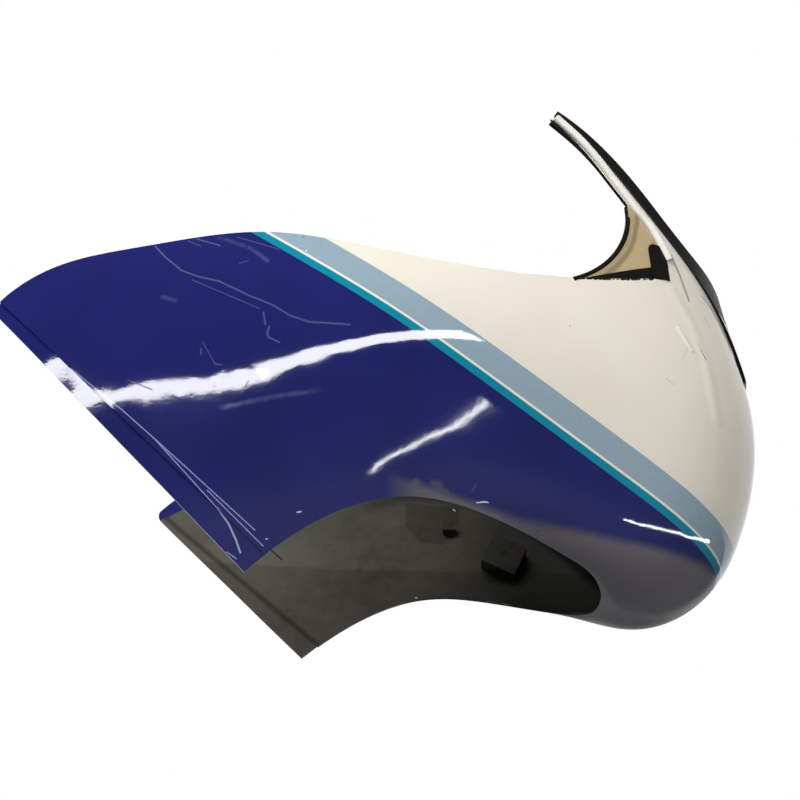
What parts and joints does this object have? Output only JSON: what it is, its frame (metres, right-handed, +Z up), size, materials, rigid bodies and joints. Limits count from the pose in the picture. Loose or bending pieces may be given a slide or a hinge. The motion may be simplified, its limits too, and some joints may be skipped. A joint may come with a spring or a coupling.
{
  "type": "motorcycle fairing",
  "caption": "Upper half fairing of a motorcycle: a thin moulded cowl with a closed nose, arched lower edge and slender screen pillars with rubber trim.",
  "frame": {"origin": "on the stay bolt axis, half way between the two stay brackets inside the flanks", "axes": "+X to the nose, +Y to the left-hand side, +Z up as fitted"},
  "size_m": [0.753, 0.5666, 0.5215],
  "materials": {
    "painted_shell": "gloss paint in dark blue, teal, light blue and white, scratched, over a dark grey moulding",
    "black_rubber": "black rubber, worn",
    "white_bead": "white gloss bead",
    "tinted_ear": "bronze-tinted plastic sheet"
  },
  "bodies": {
    "root": {"fairing_shell": "painted_shell", "glazing_rubber": "black_rubber", "edge_bead_right": "white_bead", "edge_bead_left": "white_bead", "screen_ear_right": "tinted_ear", "screen_ear_left": "tinted_ear", "ear_edge_trim_right": "black_rubber", "ear_edge_trim_left": "black_rubber", "ear_seal_right": "black_rubber", "ear_seal_left": "black_rubber", "corner_block_right": "black_rubber", "corner_block_left": "black_rubber"}
  },
  "joints": []
}
